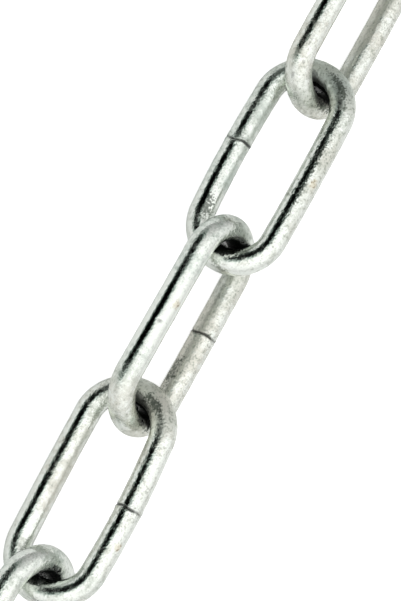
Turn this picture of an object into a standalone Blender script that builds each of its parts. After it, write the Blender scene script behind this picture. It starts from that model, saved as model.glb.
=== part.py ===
"""One metre of welded steel chain, long link, lying straight on a level floor.

Metres, +Z up. +X runs along the chain, and the origin is on the floor under its middle.
Each link is one bent and welded wire. Neighbours lean to opposite sides, so that each link
rests on the floor along one leg, and its bow is threaded through the next link's bow.
"""

from math import cos, pi, radians, sin

import bmesh
import bpy
from mathutils import Euler, Vector

# Driving sizes of the chain
WIRE_DIAMETER = 0.006
INSIDE_LENGTH = 0.042
INSIDE_WIDTH = 0.012
LINK_COUNT = 24
CHAIN_LENGTH = 1.0

# How far the links lean, in turn along the chain, in degrees from lying flat
LEANS = (33, 33, 37, 32, 31, 34, 33, 35)

# Facets: the section is turned so that one of its sides faces straight down in each link
SECTION_SIDES = 12
BOW_STEPS = 8
SHARP_ANGLE = radians(40)

# Sizes that follow
WIRE_RADIUS = WIRE_DIAMETER / 2
BOW_RADIUS = (INSIDE_WIDTH + WIRE_DIAMETER) / 2
LINK_LENGTH = INSIDE_LENGTH + 2 * WIRE_DIAMETER
LEG_LENGTH = INSIDE_LENGTH - INSIDE_WIDTH
SPACING = (CHAIN_LENGTH - LINK_LENGTH) / (LINK_COUNT - 1)

ZINC_COLOUR = (0.60, 0.61, 0.59, 1.0)
ZINC_ROUGHNESS = 0.32
ZINC_METALLIC = 1.0


def clear_scene():
    for item in list(bpy.data.objects):
        bpy.data.objects.remove(item, do_unlink=True)


def zinc_plated_steel():
    material = bpy.data.materials.new("zinc_plated_steel")
    material.use_nodes = True
    shader = material.node_tree.nodes["Principled BSDF"]
    shader.inputs["Base Color"].default_value = ZINC_COLOUR
    shader.inputs["Roughness"].default_value = ZINC_ROUGHNESS
    shader.inputs["Metallic"].default_value = ZINC_METALLIC
    return material


def bow_turns(middle):
    """Angles of a bow's mitred corners, spread evenly about its middle direction."""
    step = pi / BOW_STEPS
    return [middle + step * (i - (BOW_STEPS - 1) / 2) for i in range(BOW_STEPS)]


def section_ring(centre_x, turn, lean):
    """One mitred section of the wire, at a corner of the bow about (centre_x, 0, 0)."""
    mitre = 1 / cos(pi / BOW_STEPS / 2)
    side_angle = 2 * pi / SECTION_SIDES
    corner_radius = WIRE_RADIUS / cos(pi / SECTION_SIDES)
    outwards = Vector((cos(turn), sin(turn), 0))
    middle = Vector((centre_x, 0, 0)) + outwards * BOW_RADIUS * mitre
    ring = []
    for side in range(SECTION_SIDES):
        angle = side_angle * (side + 0.5) + lean % side_angle
        across = outwards * corner_radius * cos(angle) * mitre
        upwards = Vector((0, 0, corner_radius * sin(angle)))
        ring.append(middle + across + upwards)
    return ring


def link_mesh(lean, material):
    """A closed link in its own plane. Its first bow is centred on the origin."""
    rings = [section_ring(LEG_LENGTH, turn, lean) for turn in bow_turns(0)]
    rings += [section_ring(0, turn, lean) for turn in bow_turns(pi)]

    shape = bmesh.new()
    loops = [[shape.verts.new(point) for point in ring] for ring in rings]
    for i, here in enumerate(loops):
        ahead = loops[(i + 1) % len(loops)]
        for side in range(SECTION_SIDES):
            turn = (side + 1) % SECTION_SIDES
            shape.faces.new((here[side], ahead[side], ahead[turn], here[turn]))
    bmesh.ops.recalc_face_normals(shape, faces=shape.faces)

    mesh = bpy.data.meshes.new("link")
    shape.to_mesh(mesh)
    shape.free()
    mesh.materials.append(material)
    mesh.shade_smooth()
    mesh.set_sharp_from_angle(angle=SHARP_ANGLE)
    return mesh


def place_link(number, material):
    """A link's object origin is its first bow's centre, which it swings about."""
    lean = radians(LEANS[(number - 1) % len(LEANS)])
    link = bpy.data.objects.new(f"link_{number:02d}", link_mesh(lean, material))
    centre_x = (number - (LINK_COUNT + 1) / 2) * SPACING
    axis_height = WIRE_RADIUS + BOW_RADIUS * sin(lean)
    side = 1 if number % 2 else -1
    link.location = (centre_x - LEG_LENGTH / 2, 0, axis_height)
    link.rotation_euler = Euler((side * lean, 0, 0))
    bpy.context.scene.collection.objects.link(link)


def main():
    clear_scene()
    material = zinc_plated_steel()
    for number in range(1, LINK_COUNT + 1):
        place_link(number, material)


main()
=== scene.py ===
"""Looks of one metre of welded steel chain, long link, lying straight on a pale floor.

Metres, +Z up, in the frame of the solids, unless a comment says otherwise. +X runs along the chain.
Each link is round wire again here, with its weld, its small bends and its zinc skin.
"""

from math import asin, cos, exp, pi, radians, sin
from random import Random

import bpy
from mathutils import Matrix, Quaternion, Vector, kdtree, noise


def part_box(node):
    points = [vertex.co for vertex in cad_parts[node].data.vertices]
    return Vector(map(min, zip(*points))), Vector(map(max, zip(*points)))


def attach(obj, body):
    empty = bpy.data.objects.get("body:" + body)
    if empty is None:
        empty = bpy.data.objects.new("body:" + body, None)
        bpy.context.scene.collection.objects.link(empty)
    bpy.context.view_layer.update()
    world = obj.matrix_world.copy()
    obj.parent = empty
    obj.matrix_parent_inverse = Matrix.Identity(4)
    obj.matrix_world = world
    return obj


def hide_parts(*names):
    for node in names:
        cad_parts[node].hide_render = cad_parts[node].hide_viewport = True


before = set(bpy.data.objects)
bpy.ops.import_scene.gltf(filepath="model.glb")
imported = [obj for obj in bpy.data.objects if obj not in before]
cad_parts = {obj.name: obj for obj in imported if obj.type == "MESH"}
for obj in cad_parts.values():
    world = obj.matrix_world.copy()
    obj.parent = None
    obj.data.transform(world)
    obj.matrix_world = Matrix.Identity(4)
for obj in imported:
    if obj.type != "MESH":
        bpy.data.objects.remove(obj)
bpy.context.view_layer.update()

MM = 0.001

# Driving sizes of the chain
WIRE_DIAMETER = 6 * MM
INSIDE_LENGTH = 42 * MM
INSIDE_WIDTH = 12 * MM
LINK_COUNT = len(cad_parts)

# Sizes that follow
WIRE_RADIUS = WIRE_DIAMETER / 2
BOW_RADIUS = (INSIDE_WIDTH + WIRE_DIAMETER) / 2
HALF_LEG = (INSIDE_LENGTH - INSIDE_WIDTH) / 2
BOW_LENGTH = pi * BOW_RADIUS
AROUND = 4 * HALF_LEG + 2 * BOW_LENGTH

# Fineness of a link's mesh, whose rings stand closer beside the weld, and of the line along its middle
SECTION_SIDES = 56
WELD_REACH = 1.5 * MM
WELD_RINGS = 30
OTHER_RINGS = 316
MIDDLE_STEPS = 240

# Parts of a link in their order round it. The left leg is towards +Y, and the high bow towards +X
LEFT = "left leg"
HIGH_BOW = "high bow"
RIGHT = "right leg"
LOW_BOW = "low bow"
ROUND_THE_LINK = (LEFT, HIGH_BOW, RIGHT, LOW_BOW)

# Links in the photo
SEEN_LINKS = (1, 2, 3, 4, 5)

# Their welds: the leg, mm from the leg's middle, and degrees up the wire from its outer side to where
# the weld is most open
SEEN_WELDS = {
    2: (RIGHT, 0.4, 110),
    3: (RIGHT, 1.1, 180),
    4: (LEFT, 1.4, 140),
    5: (LEFT, 2.5, 90),
}

# How their legs depart from straight ones, outwards in mm: at both ends, more at the +X end than at
# the other, and more in the middle
SEEN_LEGS = {
    (2, LEFT): (-0.10, 0.33, 0.10),
    (2, RIGHT): (0.03, -0.45, 0.55),
    (3, LEFT): (0.00, -0.22, 0.00),
    (3, RIGHT): (-0.12, -0.03, 0.06),
    (4, LEFT): (-0.10, 0.08, 0.40),
    (4, RIGHT): (-0.12, 0.00, 0.15),
}

# Their marks: link, part, place in mm along a leg or in degrees round a bow from its left leg, degrees
# up the wire from its outer side, and half lengths along and round the wire in mm
SEEN_STAINS = (
    (2, RIGHT, -8.0, 38, 1.2, 1.2),
    (3, LEFT, 1.9, 74, 1.7, 1.3),
    (4, RIGHT, -0.2, 48, 1.7, 1.3),
)
SEEN_FILMS = (
    (2, LEFT, 0, 151, 13, 1.4),
    (2, HIGH_BOW, 105, 75, 9, 3.0),
    (3, RIGHT, 0, 180, 18, 1.9),
    (4, LEFT, 0, 150, 13, 1.4),
    (4, HIGH_BOW, 105, 75, 9, 3.0),
    (4, RIGHT, 0, 40, 13, 2.0),
    (5, RIGHT, 0, 175, 18, 1.9),
)
SEEN_TARNISH = (
    (2, RIGHT, -1, 97, 9, 0.6),
    (2, HIGH_BOW, 118, 95, 5, 1.4),
    (3, RIGHT, -9, 195, 5, 1.5),
    (3, LOW_BOW, 125, 90, 5, 1.2),
    (4, LEFT, -15, 106, 4, 2.0),
    (4, HIGH_BOW, 130, 80, 5, 1.2),
    (4, RIGHT, 0, 87, 14, 0.8),
    (4, LOW_BOW, 125, 117, 4, 1.1),
    (5, LOW_BOW, 112, 90, 5, 1.4),
)
SEEN_PITS = (
    (3, LEFT, -3.0, 43, 0.30, 0.60),
    (3, HIGH_BOW, 72, 53, 0.34, 0.30),
    (5, LOW_BOW, 23, 55, 0.30, 0.26),
    (5, LOW_BOW, 39, 16, 0.36, 0.30),
)
SEEN_CREASES = (
    (4, RIGHT, 14.2, 10, 0.40, 1.60),
)

# How dull, how coarse and how warm in colour their zinc is, from 0 to 1, on each part round the link
SEEN_DULLNESS = {
    1: (0.4, 0.5, 0.5, 0.5),
    2: (0.2, 0.8, 0.3, 0.5),
    3: (0.0, 0.9, 0.7, 1.0),
    4: (0.3, 0.8, 0.1, 0.1),
    5: (0.2, 0.6, 0.7, 1.0),
}
SEEN_COARSENESS = {
    1: (0.5, 0.6, 0.5, 0.5),
    2: (0.3, 1.0, 0.6, 0.4),
    3: (0.1, 0.8, 0.8, 0.7),
    4: (0.5, 1.0, 1.0, 0.4),
    5: (0.4, 0.8, 0.8, 0.8),
}
SEEN_WARMTH = {
    1: (0.5, 0.2, 0.5, 0.5),
    2: (0.8, 0.6, 0.8, 0.3),
    3: (0.1, 0.2, 1.0, 0.7),
    4: (0.1, 0.3, 0.6, 0.5),
    5: (0.8, 0.5, 0.8, 0.7),
}

# The other links, by chance between two ends: place of the weld and bends of the legs in mm, dullness,
# coarseness and warmth, places of marks in mm along a leg or in degrees round a bow, and a factor on
# the size of marks
OTHER_WELD_PLACES = (-2, 2)
OTHER_BENDS = (-0.18, 0.18)
OTHER_LOOKS = (0.1, 0.8)
OTHER_LEG_PLACES = (-14, 14)
OTHER_BOW_PLACES = (0, 180)
OTHER_SIZES = (0.8, 1.2)

# Marks on each of them: how many, and their half lengths along and round the wire in mm
OTHER_STAINS = (1, 1.5, 1.5)
OTHER_FILMS = (2, 12, 1.6)
OTHER_TARNISH = (2, 4, 0.8)
OTHER_PITS = (3, 0.32, 0.32)
OTHER_CREASES = (1, 0.4, 1.6)

# Looks and marks by name: what the photo shows, how the other links have them, and a seed, which is
# the last number, for their chance
LOOKS = {
    "dull": (SEEN_DULLNESS, 300),
    "coarse": (SEEN_COARSENESS, 400),
    "warm": (SEEN_WARMTH, 500),
}
SPOTS = {
    "stain": (SEEN_STAINS, OTHER_STAINS, 1000),
    "film": (SEEN_FILMS, OTHER_FILMS, 2000),
    "tarnish": (SEEN_TARNISH, OTHER_TARNISH, 3000),
    "pit": (SEEN_PITS, OTHER_PITS, 4000),
    "crease": (SEEN_CREASES, OTHER_CREASES, 5000),
}
WELD_SEED = 0
BEND_SEED = 100

# What the mesh of a link says about each point of its surface, for the material
MARKS = ("seam", "bent", "dull", "coarse", "warm", "inner", "near", "stain", "film", "tarnish", "pit")

# A mark has faded to nothing at this many of its half lengths along the wire
MARK_REACH = 2.5

# Weld: a closed butt joint with a lip on both sides of its line, and rough skin about it
SEAM_HALF_WIDTH = 0.23 * MM
SEAM_DEPTH = 0.16 * MM
SEAM_GRIME_HALF_WIDTH = 1.3 * SEAM_HALF_WIDTH
LIP_PLACE = 0.52 * MM
LIP_HALF_WIDTH = 0.30 * MM
LIP_HEIGHT = 0.05 * MM
UPSET_HALF_WIDTH = 1.0 * MM
UPSET_HEIGHT = 0.05 * MM
SCORCH_HALF_WIDTH = 1.3 * MM
SCORCH_COARSENESS = 0.7

# The weld's line wanders round the wire: how far, how quickly, and the step of chance from link to link
SEAM_WANDER = 0.7 * MM
WANDER_RATE = 1.1
WANDER_STEP = 3

# How open the weld is round the wire: usually, more on its open side, more or less by chance and how
# quickly that changes, at least and at most
OPEN_USUALLY = 0.85
OPEN_SIDE_GAIN = 0.6
OPEN_CHANCE_GAIN = 0.9
OPEN_CHANCE_RATE = 2.4
OPEN_LEAST = 0.15
OPEN_MOST = 1.6

# Skin of the zinc: size and height of its waves and dimples, and depth of its pits and creases
WAVE_SIZE = 4.5 * MM
WAVE_HEIGHT = 0.04 * MM
DIMPLE_SIZE = 1.2 * MM
DIMPLE_HEIGHT = 0.025 * MM
DIMPLE_SHIFT = Vector((7.3, 1.9, 4.1))
DENT_DEPTH = 0.12 * MM

# Painted shade on the inner side of the bows, where the neighbour rubs: degrees round the wire where it
# starts and where it is full, on the odd links and, narrower, on the even ones
ODD_INNER = (108, 142)
EVEN_INNER = (140, 162)

# Painted shade near the contacts, on the odd links: the gap to a neighbour's skin where it is full and
# where it ends, and how far from the link's centre it starts
NEAR_FULL = 0.5 * MM
NEAR_END = 1.9 * MM
NEAR_FROM = HALF_LEG / 2

# Colours of the zinc, of its film and of what lies on it
BRIGHT_ZINC = (0.775, 0.805, 0.755, 1.0)
GREEN_FILM = (0.56, 0.62, 0.57, 1.0)
CREAM_FILM = (0.66, 0.65, 0.58, 1.0)
SPECKS = (0.30, 0.33, 0.28, 1.0)
TAN = (0.56, 0.47, 0.30, 1.0)
BROWN = (0.16, 0.11, 0.06, 1.0)
OLIVE = (0.070, 0.085, 0.068, 1.0)
# Near black: painted shade inside the bows and near the contacts, painted shadow on the floor under the
# joints, and grime in the weld's seam and in pits
SHADE_AND_GRIME = (0.008, 0.010, 0.008, 1.0)

# Grain of the zinc: size, detail and roughness of its patches, its mottle, its fine grain, the places
# that are warmer in colour, and the small pebbles of its surface
PATCHES = (7.0 * MM, 3.0, 0.6)
MOTTLE = (1.3 * MM, 4.0, 0.65)
FINE_GRAIN = (0.45 * MM, 1.0, 0.5)
WARM_PLACES = (9.0 * MM, 1.0, 0.5)
PEBBLES = (0.55 * MM, 1.0, 0.5)
PEBBLE_HEIGHT = 0.08 * MM
PEBBLES_EVERYWHERE = 0.3

# What makes the film: the patches and the mottle, the link's dullness, and the marks of film
FILM_BY_GRAIN = 0.6
FILM_BY_DULLNESS = 0.16
FILM_BY_MARKS = 0.16

# How much the patches change the coarseness, and how ragged the grain makes the edges of marks
COARSE_BY_PATCHES = 2.0
STAIN_RAGGEDNESS = 1.2
# Raggedness of the edges of the painted shade inside the bows and near the contacts
SHADE_RAGGEDNESS = 0.84
TARNISH_RAGGEDNESS = 3.0

# Strengths between which each of these grows from nothing to full
FILM_RANGE = (0.58, 0.84)
SPECK_RANGE = (0.48, 0.66)
STAIN_RANGE = (0.4, 0.9)
FLECK_RANGE = (0.56, 0.66)
TARNISH_RANGE = (0.4, 0.9)
# The next two: painted shade inside the bows and near the contacts
INNER_RANGE = (0.35, 0.6)
NEAR_RANGE = (0.4, 0.8)

# How well each of these covers what is below it
SPECK_COVER = 0.75
STAIN_COVER = 0.45
FLECK_COVER = 0.7
TARNISH_COVER = 0.8
SEAM_COVER = 0.8
PIT_COVER = 0.7

# Roughness of bright zinc and of the film, and what bows, marks of film, and the painted shade and grime
# add to it
BRIGHT_ROUGHNESS = 0.10
FILM_ROUGHNESS = 0.29
BOW_ROUGHNESS = 0.06
FILM_MARK_ROUGHNESS = 0.14
SHADE_AND_GRIME_ROUGHNESS = 0.35

# Studio: a white ceiling, brighter than the walls, a dim far wall and a dark doorway. Each range says
# how far towards it a direction points where its darkness starts and where it is full
CEILING = 1.46
WALLS = 0.80
BACKGROUND = 0.98
FAR_WALL = Vector((0.91, 0.33, 0.26)).normalized()
FAR_WALL_RANGE = (0.2, 1.0)
FAR_WALL_DIMNESS = 0.5
DOORWAY = Vector((0.20, 0.84, 0.50)).normalized()
DOORWAY_RANGE = (0.0, 0.3)
DOORWAY_HALF_WIDTH = 0.80
DOORWAY_HALF_HEIGHT = 0.66
DOORWAY_CORE = 0.37
DOORWAY_TINT = (0.75, 1.0, 0.88, 1.0)
WHITE = (1.0, 1.0, 1.0, 1.0)

# The pale floor glows, as a light table does, but not under a joint of the chain, where little of its
# sky is open: there a near-black shadow is painted on the floor instead
FLOOR_HALF_WIDTH = 40.0
FLOOR_COLOUR = (0.92, 0.92, 0.92, 1.0)
FLOOR_ROUGHNESS = 0.9
FLOOR_SPECULAR = 0.1
FLOOR_GLOW = 0.70
FLOOR_GLEAM = 0.07
SKY_REACH = 14 * MM
SKY_SAMPLES = 8
SKY_CLOSED = 0.38
SKY_OPEN = 0.50
# Where the painted shadow lies under each joint: half length, middle across the chain, half width and
# soft edge
JOINT_HALF_LENGTH = 4.0 * MM
JOINT_MIDDLE_Y = -3.2 * MM
JOINT_HALF_WIDTH = 4.0 * MM
JOINT_EDGE = 0.6 * MM

# Camera: it looks down at the third link, with the chain rising to the right. Angles are in degrees
AIM_LINK = "link_03"
AIM_OFFSET = Vector((6.96 * MM, -1.04 * MM, 0.0))
AIM_HEIGHT = 7.5 * MM
CAMERA_DISTANCE = 0.4338
CAMERA_ELEVATION = 70.38
CAMERA_HEADING = 118.75
CAMERA_ROLL = 91.76
CAMERA_LENS_MM = 118.1
CAMERA_CLIP_START = 0.01


# Form of a link

def link_frame(number):
    """Centre of a link, the direction across it towards +Y, and its plane's upward normal."""
    low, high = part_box(f"link_{number:02d}")
    lean = asin((high.z - low.z - WIRE_DIAMETER) / (2 * BOW_RADIUS))
    side = 1 if number % 2 else -1
    across = Vector((0, cos(lean), side * sin(lean)))
    upward = Vector((0, -side * sin(lean), cos(lean)))
    return (low + high) / 2, across, upward


def leg_forms(number):
    """How the left and the right leg depart from straight ones."""
    chance = Random(BEND_SEED + number)
    forms = {}
    for leg in (LEFT, RIGHT):
        some = tuple(chance.uniform(*OTHER_BENDS) for _ in range(3))
        forms[leg] = SEEN_LEGS.get((number, leg), some)
    return forms


def leg_bend(form, along):
    """Outward departure of a leg at a place from -1 to 1 along it."""
    ends, tilt, belly = form
    return (ends + tilt * along + belly * (1 - along * along)) * MM


def bow_bend(turn, first, last):
    """A bow's departure fades from one leg's end to its crown and grows to the other leg's end."""
    if turn < pi / 2:
        return first * cos(turn) ** 2
    return last * cos(turn) ** 2


def wire_middle(travel, forms):
    """Middle of the wire in the link's plane, and its outward direction, by distance round the link.

    The distance starts in the middle of the left leg and first goes towards +X.
    """
    travel %= AROUND
    if travel > AROUND - HALF_LEG:
        travel -= AROUND
    if travel <= HALF_LEG:
        along, across, outward = travel, BOW_RADIUS, (0, 1)
        bend = leg_bend(forms[LEFT], travel / HALF_LEG)
    elif travel < HALF_LEG + BOW_LENGTH:
        turn = (travel - HALF_LEG) / BOW_RADIUS
        outward = (sin(turn), cos(turn))
        along, across = HALF_LEG + BOW_RADIUS * outward[0], BOW_RADIUS * outward[1]
        bend = bow_bend(turn, leg_bend(forms[LEFT], 1), leg_bend(forms[RIGHT], 1))
    elif travel <= 3 * HALF_LEG + BOW_LENGTH:
        along = 2 * HALF_LEG + BOW_LENGTH - travel
        across, outward = -BOW_RADIUS, (0, -1)
        bend = leg_bend(forms[RIGHT], along / HALF_LEG)
    else:
        turn = (travel - 3 * HALF_LEG - BOW_LENGTH) / BOW_RADIUS
        outward = (-sin(turn), -cos(turn))
        along, across = BOW_RADIUS * outward[0] - HALF_LEG, BOW_RADIUS * outward[1]
        bend = bow_bend(turn, leg_bend(forms[RIGHT], -1), leg_bend(forms[LEFT], -1))
    return (along + bend * outward[0], across + bend * outward[1]), outward


def travel_to(part, place):
    """Distance round a link to a place on one of its parts."""
    if part == LEFT:
        return place * MM
    if part == RIGHT:
        return 2 * HALF_LEG + BOW_LENGTH - place * MM
    if part == HIGH_BOW:
        return HALF_LEG + BOW_RADIUS * radians(place)
    return -HALF_LEG - BOW_RADIUS * radians(place)


def apart(first, second, whole):
    """How far the first place is past the second, the shorter way round a ring of this length."""
    return (first - second + whole / 2) % whole - whole / 2


def bell(distance, half_width):
    """1 in the middle, fading on both sides."""
    return exp(-(distance / half_width) ** 2)


# Weld and skin

def weld_of(number):
    """Distance round a link to its weld, and the angle round the wire where it is most open."""
    chance = Random(WELD_SEED + number)
    some = chance.choice((LEFT, RIGHT)), chance.uniform(*OTHER_WELD_PLACES), chance.uniform(0, 360)
    leg, place, open_side = SEEN_WELDS.get(number, some)
    return travel_to(leg, place), radians(open_side)


def seam_distance(from_weld, turn, number):
    """Distance from the weld's line, which wanders a little round the wire."""
    where = Vector((cos(turn), sin(turn), WANDER_STEP * number))
    return from_weld + SEAM_WANDER * noise.noise(where * WANDER_RATE)


def seam_openness(turn, open_turn, number):
    """About 1, more where the seam is open and less where it is filled."""
    some = noise.noise(Vector((cos(turn), sin(turn), number)) * OPEN_CHANCE_RATE)
    openness = OPEN_USUALLY + OPEN_SIDE_GAIN * cos(turn - open_turn) + OPEN_CHANCE_GAIN * some
    return min(max(openness, OPEN_LEAST), OPEN_MOST)


def weld_height(from_seam, openness):
    """Height of the weld over the round wire: a thin line between two lips, on a slight swelling."""
    seam = -SEAM_DEPTH * bell(from_seam, SEAM_HALF_WIDTH) * openness
    near_lip = bell(from_seam - LIP_PLACE, LIP_HALF_WIDTH) * openness
    far_lip = bell(from_seam + LIP_PLACE, LIP_HALF_WIDTH) * (OPEN_MOST - openness)
    return seam + LIP_HEIGHT * (near_lip + far_lip) + UPSET_HEIGHT * bell(from_seam, UPSET_HALF_WIDTH)


def weld_at(from_weld, turn, open_turn, number):
    """The weld's height, the grime in it and the coarseness about it, at a point of the wire."""
    if abs(from_weld) >= 2 * WELD_REACH:
        return 0.0, 0.0, 0.0
    from_seam = seam_distance(from_weld, turn, number)
    openness = seam_openness(turn, open_turn, number)
    grime = min(openness * bell(from_seam, SEAM_GRIME_HALF_WIDTH), 1.0)
    scorch = SCORCH_COARSENESS * bell(from_seam, SCORCH_HALF_WIDTH)
    return weld_height(from_seam, openness), grime, scorch


def skin_height(place):
    """Height of the zinc's waves and dimples."""
    waves = WAVE_HEIGHT * noise.noise(place / WAVE_SIZE)
    dimples = DIMPLE_HEIGHT * noise.noise(place / DIMPLE_SIZE + DIMPLE_SHIFT)
    return waves + dimples


# Marks on a link

def bow_share(along):
    """0 on the legs, growing to 1 at the crowns of the bows."""
    return min(max((abs(along) - HALF_LEG) / BOW_RADIUS, 0.0), 1.0)


def inner_share(turn, bent, number):
    """1 on the inner side of a bow, where its neighbour rubs and shade is painted."""
    start, full = (cos(radians(angle)) for angle in (ODD_INNER if number % 2 else EVEN_INNER))
    inwards = (cos(turn) - start) / (full - start)
    return bent * min(max(inwards, 0.0), 1.0)


def middle_line(number):
    """Points along the middle of a link's wire."""
    centre, across, _ = link_frame(number)
    forms = leg_forms(number)
    places = [wire_middle(AROUND * i / MIDDLE_STEPS, forms)[0] for i in range(MIDDLE_STEPS)]
    return [centre + Vector((along, 0, 0)) + across * sideways for along, sideways in places]


def neighbour_search(number):
    """Finds the nearest point of the neighbours' middle lines."""
    points = []
    for other in (number - 1, number + 1):
        if 1 <= other <= LINK_COUNT:
            points += middle_line(other)
    search = kdtree.KDTree(len(points))
    for i, point in enumerate(points):
        search.insert(point, i)
    search.balance()
    return search


def nearness(place, neighbours):
    """1 where a neighbour's skin is close, and 0 far from it."""
    gap = neighbours.find(place)[2] - WIRE_RADIUS
    return min(max((NEAR_END - gap) / (NEAR_END - NEAR_FULL), 0.0), 1.0)


def by_part(number, seen, seed):
    """A value for each part round a link: as seen in the photo, or else drawn by chance."""
    chance = Random(seed + number)
    some = tuple(chance.uniform(*OTHER_LOOKS) for _ in ROUND_THE_LINK)
    return seen.get(number, some)


def value_at(travel, values):
    """It goes smoothly from the middle of one part of the link to the middle of the next."""
    quarter = travel % AROUND / (AROUND / 4)
    part = int(quarter)
    share = 0.5 - 0.5 * cos(pi * (quarter - part))
    here, ahead = values[part % 4], values[(part + 1) % 4]
    return here + (ahead - here) * share


def chance_marks(others, seed):
    """Some marks of one kind: part, place, turn and half lengths."""
    chance = Random(seed)
    count, half_along, half_around = others
    found = []
    for _ in range(count):
        part = chance.choice(ROUND_THE_LINK)
        place = chance.uniform(*(OTHER_LEG_PLACES if part in (LEFT, RIGHT) else OTHER_BOW_PLACES))
        size = chance.uniform(*OTHER_SIZES)
        found.append((part, place, chance.uniform(0, 360), size * half_along, size * half_around))
    return found


def marks_of(number, seen, others, seed):
    """Seen marks of a link in the photo, or some of the same kind on the other links."""
    if number in SEEN_LINKS:
        found = [mark[1:] for mark in seen if mark[0] == number]
    else:
        found = chance_marks(others, seed + number)
    return [(travel_to(part, place), radians(turn), along * MM, around * MM)
            for part, place, turn, along, around in found]


def marks_near(marks, travel):
    """Those marks that reach this far round the link."""
    return [mark for mark in marks if abs(apart(travel, mark[0], AROUND)) < MARK_REACH * mark[2]]


def mark_strength(marks, travel, turn):
    """1 in the middle of a mark, fading to 0 round it."""
    strength = 0.0
    for mark_travel, mark_turn, half_along, half_around in marks:
        along = apart(travel, mark_travel, AROUND) / half_along
        around = apart(turn, mark_turn, 2 * pi) * WIRE_RADIUS / half_around
        strength = max(strength, exp(-along ** 2 - around ** 2))
    return strength


# Mesh of a link

def ring_distances():
    """Distances of the rings from the weld, once round the link."""
    fine = [WELD_REACH * (2 * i / WELD_RINGS - 1) for i in range(WELD_RINGS)]
    rest = AROUND - 2 * WELD_REACH
    return fine + [WELD_REACH + rest * i / OTHER_RINGS for i in range(OTHER_RINGS)]


def ring_faces(ring_count):
    """Faces from each ring to the next, closed round the link."""
    faces = []
    for ring in range(ring_count):
        here = ring * SECTION_SIDES
        ahead = (ring + 1) % ring_count * SECTION_SIDES
        for side in range(SECTION_SIDES):
            beside = (side + 1) % SECTION_SIDES
            faces.append((here + side, here + beside, ahead + beside, ahead + side))
    return faces


def link_mesh(number):
    """One link, in the frame's own coordinates, with the strength of each mark on its surface."""
    centre, across, upward = link_frame(number)
    forms = leg_forms(number)
    weld_travel, open_turn = weld_of(number)
    neighbours = neighbour_search(number)
    looks = {name: by_part(number, *kind) for name, kind in LOOKS.items()}
    spots = {name: marks_of(number, *kind) for name, kind in SPOTS.items()}

    points = []
    marks = {name: [] for name in MARKS}
    distances = ring_distances()
    for from_weld in distances:
        travel = weld_travel + from_weld
        (along, sideways), (outward_x, outward_y) = wire_middle(travel, forms)
        ring_centre = centre + Vector((along, 0, 0)) + across * sideways
        outwards = Vector((outward_x, 0, 0)) + across * outward_y
        bent = bow_share(along)
        # The odd links get painted shade near the contacts, away from the link's centre
        near_shaded = number % 2 == 1 and abs(along) > NEAR_FROM
        ring_looks = {name: value_at(travel, values) for name, values in looks.items()}
        ring_spots = {name: marks_near(found, travel) for name, found in spots.items()}
        for side in range(SECTION_SIDES):
            turn = 2 * pi * side / SECTION_SIDES
            radial = outwards * cos(turn) + upward * sin(turn)
            place = ring_centre + radial * WIRE_RADIUS
            weld, seam, scorch = weld_at(from_weld, turn, open_turn, number)
            here = {name: mark_strength(found, travel, turn) for name, found in ring_spots.items()}
            dent = max(here["pit"], here["crease"])
            points.append(place + radial * (skin_height(place) + weld - DENT_DEPTH * dent))
            here.update(ring_looks, seam=seam, bent=bent)
            here["coarse"] += scorch
            # Strengths of the painted shade near the contacts and on the inner side of the bows
            here["near"] = nearness(place, neighbours) if near_shaded else 0.0
            here["inner"] = inner_share(turn, bent, number)
            for name in MARKS:
                marks[name].append(here[name])

    mesh = bpy.data.meshes.new(f"wire_{number:02d}")
    mesh.from_pydata(points, [], ring_faces(len(distances)))
    for name, strengths in marks.items():
        mesh.attributes.new(name, "FLOAT", "POINT").data.foreach_set("value", strengths)
    mesh.shade_smooth()
    return mesh


def add_link(number, material):
    mesh = link_mesh(number)
    mesh.materials.append(material)
    piece = bpy.data.objects.new(f"wire_link_{number:02d}", mesh)
    bpy.context.scene.collection.objects.link(piece)
    body = f"link_{number:02d}"
    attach(piece, body)
    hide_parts(body)


# Nodes of the materials and the studio

def new_node(tree, kind, **settings):
    node = tree.nodes.new(kind)
    for name, value in settings.items():
        setattr(node, name, value)
    return node


def plug(tree, socket, value):
    """A node's output is linked, and a plain value is set on the socket."""
    if isinstance(value, bpy.types.NodeSocket):
        tree.links.new(value, socket)
    else:
        socket.default_value = value


def calculate(tree, operation, first, second=0.0):
    node = new_node(tree, "ShaderNodeMath", operation=operation)
    plug(tree, node.inputs[0], first)
    plug(tree, node.inputs[1], second)
    return node.outputs[0]


def plus(tree, first, second):
    return calculate(tree, "ADD", first, second)


def minus(tree, first, second):
    return calculate(tree, "SUBTRACT", first, second)


def times(tree, first, second):
    return calculate(tree, "MULTIPLY", first, second)


def larger(tree, first, second):
    return calculate(tree, "MAXIMUM", first, second)


def smooth(tree, value, low, high, to_low=0.0, to_high=1.0):
    """It goes smoothly from to_low to to_high while the value goes from low to high."""
    node = new_node(tree, "ShaderNodeMapRange", interpolation_type="SMOOTHSTEP")
    plug(tree, node.inputs["Value"], value)
    for name, setting in zip(("From Min", "From Max", "To Min", "To Max"), (low, high, to_low, to_high)):
        node.inputs[name].default_value = setting
    return node.outputs["Result"]


def blend_colours(tree, share, first, second):
    node = new_node(tree, "ShaderNodeMix", data_type="RGBA")
    plug(tree, node.inputs["Factor"], share)
    plug(tree, node.inputs["A"], first)
    plug(tree, node.inputs["B"], second)
    return node.outputs["Result"]


def grain(tree, place, size, detail, roughness):
    """Noise from 0 to 1 with features of the given size."""
    node = new_node(tree, "ShaderNodeTexNoise")
    plug(tree, node.inputs["Vector"], place)
    node.inputs["Scale"].default_value = 1 / size
    node.inputs["Detail"].default_value = detail
    node.inputs["Roughness"].default_value = roughness
    return node.outputs["Fac"]


def ragged(tree, mark, some_grain, raggedness):
    """A mark, with its edge made ragged by a grain."""
    return plus(tree, mark, times(tree, minus(tree, some_grain, 0.5), raggedness))


# Zinc

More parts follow.
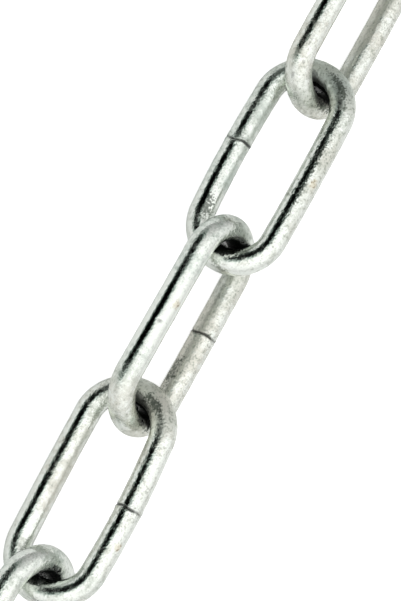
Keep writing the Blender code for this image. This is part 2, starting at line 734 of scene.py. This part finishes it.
def film_share(tree, marks, patches, mottle):
    """0 where the zinc is bright, growing to 1 where the film on it is full."""
    dullness = times(tree, plus(tree, patches, mottle), FILM_BY_GRAIN)
    dullness = plus(tree, dullness, times(tree, marks["dull"], FILM_BY_DULLNESS))
    dullness = plus(tree, dullness, times(tree, marks["film"], FILM_BY_MARKS))
    return smooth(tree, dullness, *FILM_RANGE)


def film_colour(tree, marks, place):
    """Greenish to cream, by the warmth of the link and of the place on it."""
    warmth = plus(tree, marks["warm"], minus(tree, grain(tree, place, *WARM_PLACES), 0.5))
    return blend_colours(tree, smooth(tree, warmth, 0.0, 1.0), GREEN_FILM, CREAM_FILM)


def shade_and_grime_share(tree, marks, mottle):
    """1 in the painted shade inside the bows and near the contacts, and a little less in the grime of
    seams and pits.
    """
    # Painted shade inside the bows and near the contacts, with ragged edges
    inner = smooth(tree, ragged(tree, marks["inner"], mottle, SHADE_RAGGEDNESS), *INNER_RANGE)
    near = smooth(tree, ragged(tree, marks["near"], mottle, SHADE_RAGGEDNESS), *NEAR_RANGE)
    seam = times(tree, marks["seam"], SEAM_COVER)
    pit = times(tree, marks["pit"], PIT_COVER)
    return larger(tree, larger(tree, inner, near), larger(tree, seam, pit))


def with_spots(tree, colour, marks, coarse, mottle, fine):
    """The zinc's colour with specks where it is coarse, tan stains with brown flecks, and tarnish."""
    clumps = times(tree, plus(tree, fine, mottle), 0.5)
    specks = times(tree, smooth(tree, clumps, *SPECK_RANGE), times(tree, coarse, SPECK_COVER))
    stain = smooth(tree, ragged(tree, marks["stain"], mottle, STAIN_RAGGEDNESS), *STAIN_RANGE)
    flecks = times(tree, stain, smooth(tree, fine, *FLECK_RANGE))
    tarnish = smooth(tree, ragged(tree, marks["tarnish"], clumps, TARNISH_RAGGEDNESS), *TARNISH_RANGE)
    colour = blend_colours(tree, specks, colour, SPECKS)
    colour = blend_colours(tree, times(tree, stain, STAIN_COVER), colour, TAN)
    colour = blend_colours(tree, times(tree, flecks, FLECK_COVER), colour, BROWN)
    return blend_colours(tree, times(tree, tarnish, TARNISH_COVER), colour, OLIVE)


def zinc_roughness(tree, marks, film, shade_and_grime):
    """Smooth where the zinc is bright, rougher with the film, on the bows, and in the painted shade and
    grime.
    """
    roughness = smooth(tree, film, 0.0, 1.0, BRIGHT_ROUGHNESS, FILM_ROUGHNESS)
    roughness = plus(tree, roughness, times(tree, marks["bent"], BOW_ROUGHNESS))
    roughness = plus(tree, roughness, times(tree, marks["film"], FILM_MARK_ROUGHNESS))
    return plus(tree, roughness, times(tree, shade_and_grime, SHADE_AND_GRIME_ROUGHNESS))


def pebbled_normal(tree, place, coarse):
    """Small pebbles everywhere, higher where the zinc is coarse."""
    pebbles = grain(tree, place, *PEBBLES)
    bump = new_node(tree, "ShaderNodeBump")
    bump.inputs["Strength"].default_value = 1.0
    bump.inputs["Distance"].default_value = PEBBLE_HEIGHT
    plug(tree, bump.inputs["Height"], times(tree, pebbles, plus(tree, coarse, PEBBLES_EVERYWHERE)))
    return bump.outputs["Normal"]


def zinc_material():
    """Bright zinc with a duller film in patches and on the bows, a fine grain, stains, grime in seams
    and pits, and painted shade inside the bows and near the contacts.
    """
    material = bpy.data.materials.new("zinc_plated_wire")
    material.use_nodes = True
    tree = material.node_tree
    place = new_node(tree, "ShaderNodeTexCoord").outputs["Object"]
    marks = {name: new_node(tree, "ShaderNodeAttribute", attribute_name=name).outputs["Fac"]
             for name in MARKS}
    patches = grain(tree, place, *PATCHES)
    mottle = grain(tree, place, *MOTTLE)
    fine = grain(tree, place, *FINE_GRAIN)
    coarse = times(tree, marks["coarse"], times(tree, patches, COARSE_BY_PATCHES))
    film = film_share(tree, marks, patches, mottle)
    shade_and_grime = shade_and_grime_share(tree, marks, mottle)

    colour = blend_colours(tree, film, BRIGHT_ZINC, film_colour(tree, marks, place))
    colour = with_spots(tree, colour, marks, coarse, mottle, fine)
    # Painted shade inside the bows and near the contacts, and grime in seams and pits, turn the colour
    # near black
    colour = blend_colours(tree, shade_and_grime, colour, SHADE_AND_GRIME)

    shader = tree.nodes["Principled BSDF"]
    shader.inputs["Metallic"].default_value = 1.0
    tree.links.new(colour, shader.inputs["Base Color"])
    tree.links.new(zinc_roughness(tree, marks, film, shade_and_grime), shader.inputs["Roughness"])
    tree.links.new(pebbled_normal(tree, place, coarse), shader.inputs["Normal"])
    return material


# Studio

def along_direction(tree, direction, towards):
    """How far a direction points towards another one: 1 fully, 0 across it, -1 away from it."""
    node = new_node(tree, "ShaderNodeVectorMath", operation="DOT_PRODUCT")
    plug(tree, node.inputs[0], direction)
    node.inputs[1].default_value = towards
    return node.outputs["Value"]


def doorway_light(tree, direction):
    """0 in the middle of the dark doorway and 1 well outside it."""
    sideways = Vector((0, 0, 1)).cross(DOORWAY).normalized()
    upright = DOORWAY.cross(sideways)
    across = calculate(tree, "DIVIDE", along_direction(tree, direction, sideways), DOORWAY_HALF_WIDTH)
    up = calculate(tree, "DIVIDE", along_direction(tree, direction, upright), DOORWAY_HALF_HEIGHT)
    squares = plus(tree, times(tree, across, across), times(tree, up, up))
    outside = smooth(tree, calculate(tree, "SQRT", squares), DOORWAY_CORE, 1.0)
    behind = smooth(tree, along_direction(tree, direction, DOORWAY), *DOORWAY_RANGE, 1.0, 0.0)
    return larger(tree, outside, behind)


def light_studio():
    """Soft light from all round, from a pale room with one dark doorway. The eye sees it plain."""
    world = bpy.data.worlds.new("studio")
    bpy.context.scene.world = world
    world.use_nodes = True
    tree = world.node_tree
    direction = new_node(tree, "ShaderNodeTexCoord").outputs["Generated"]
    height = new_node(tree, "ShaderNodeSeparateXYZ")
    tree.links.new(direction, height.inputs[0])
    up = larger(tree, height.outputs["Z"], 0.0)
    room = plus(tree, times(tree, up, CEILING - WALLS), WALLS)
    towards_far = along_direction(tree, direction, FAR_WALL)
    far = smooth(tree, towards_far, *FAR_WALL_RANGE, 1.0, 1.0 - FAR_WALL_DIMNESS)
    door = doorway_light(tree, direction)
    room = times(tree, times(tree, room, far), door)

    seen = new_node(tree, "ShaderNodeLightPath").outputs["Is Camera Ray"]
    brightness = new_node(tree, "ShaderNodeMix", data_type="FLOAT")
    plug(tree, brightness.inputs["Factor"], seen)
    plug(tree, brightness.inputs["A"], room)
    brightness.inputs["B"].default_value = BACKGROUND
    backdrop = tree.nodes["Background"]
    tint = blend_colours(tree, larger(tree, door, seen), DOORWAY_TINT, WHITE)
    tree.links.new(tint, backdrop.inputs["Color"])
    tree.links.new(brightness.outputs["Result"], backdrop.inputs["Strength"])


def under_joint(tree):
    """1 on the floor under a joint of the chain and 0 elsewhere. The joints lie evenly along X."""
    first, second = (link_frame(number)[0].x for number in (1, 2))
    place = new_node(tree, "ShaderNodeSeparateXYZ")
    tree.links.new(new_node(tree, "ShaderNodeTexCoord").outputs["Object"], place.inputs[0])
    from_first = minus(tree, place.outputs["X"], (first + second) / 2)
    along = calculate(tree, "PINGPONG", from_first, (second - first) / 2)
    across = calculate(tree, "ABSOLUTE", minus(tree, place.outputs["Y"], JOINT_MIDDLE_Y))
    within = smooth(tree, along, JOINT_HALF_LENGTH - JOINT_EDGE, JOINT_HALF_LENGTH, 1.0, 0.0)
    beside = smooth(tree, across, JOINT_HALF_WIDTH - JOINT_EDGE, JOINT_HALF_WIDTH, 1.0, 0.0)
    return times(tree, within, beside)


def floor_material():
    """Pale and matt, and lit a little from below, as a light table is, where nothing stands close. Under
    the joints of the chain a near-black shadow is painted on it.
    """
    material = bpy.data.materials.new("pale_floor")
    material.use_nodes = True
    tree = material.node_tree
    sky = new_node(tree, "ShaderNodeAmbientOcclusion", samples=SKY_SAMPLES)
    sky.inputs["Distance"].default_value = SKY_REACH
    seen = new_node(tree, "ShaderNodeLightPath").outputs["Is Camera Ray"]
    closed = smooth(tree, sky.outputs["AO"], SKY_CLOSED, SKY_OPEN, 1.0, 0.0)
    # Painted shadow: for the camera's rays, the floor under a joint turns near black where little sky is
    # open
    painted_joint_shadow = times(tree, times(tree, closed, under_joint(tree)), seen)
    glow = times(tree, minus(tree, seen, painted_joint_shadow), FLOOR_GLOW - FLOOR_GLEAM)
    gleam = times(tree, minus(tree, 1.0, painted_joint_shadow), FLOOR_GLEAM)

    shader = tree.nodes["Principled BSDF"]
    shader.inputs["Roughness"].default_value = FLOOR_ROUGHNESS
    shader.inputs["Specular IOR Level"].default_value = FLOOR_SPECULAR
    shader.inputs["Emission Color"].default_value = WHITE
    # The painted shadow blends the floor's colour to near black
    tree.links.new(blend_colours(tree, painted_joint_shadow, FLOOR_COLOUR, SHADE_AND_GRIME), shader.inputs["Base Color"])
    tree.links.new(plus(tree, glow, gleam), shader.inputs["Emission Strength"])
    return material


def lay_floor():
    mesh = bpy.data.meshes.new("floor")
    reach = FLOOR_HALF_WIDTH
    corners = [(-reach, -reach, 0), (reach, -reach, 0), (reach, reach, 0), (-reach, reach, 0)]
    mesh.from_pydata(corners, [], [(0, 1, 2, 3)])
    mesh.materials.append(floor_material())
    floor = bpy.data.objects.new("floor", mesh)
    bpy.context.scene.collection.objects.link(floor)


def place_camera():
    data = bpy.data.cameras.new("camera")
    data.lens = CAMERA_LENS_MM
    data.clip_start = CAMERA_CLIP_START
    camera = bpy.data.objects.new("camera", data)
    low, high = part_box(AIM_LINK)
    aim = (low + high) / 2 + AIM_OFFSET
    aim.z = AIM_HEIGHT
    heading = radians(CAMERA_HEADING)
    elevation = radians(CAMERA_ELEVATION)
    back = Vector((cos(heading) * cos(elevation), sin(heading) * cos(elevation), sin(elevation)))
    camera.location = aim + back * CAMERA_DISTANCE
    camera.rotation_mode = "QUATERNION"
    level = (-back).to_track_quat("-Z", "Y")
    camera.rotation_quaternion = level @ Quaternion((0, 0, 1), radians(CAMERA_ROLL))
    bpy.context.scene.collection.objects.link(camera)
    bpy.context.scene.camera = camera


def main():
    bpy.context.scene.view_settings.view_transform = "Standard"
    material = zinc_material()
    for number in range(1, LINK_COUNT + 1):
        add_link(number, material)
    lay_floor()
    light_studio()
    place_camera()


main()
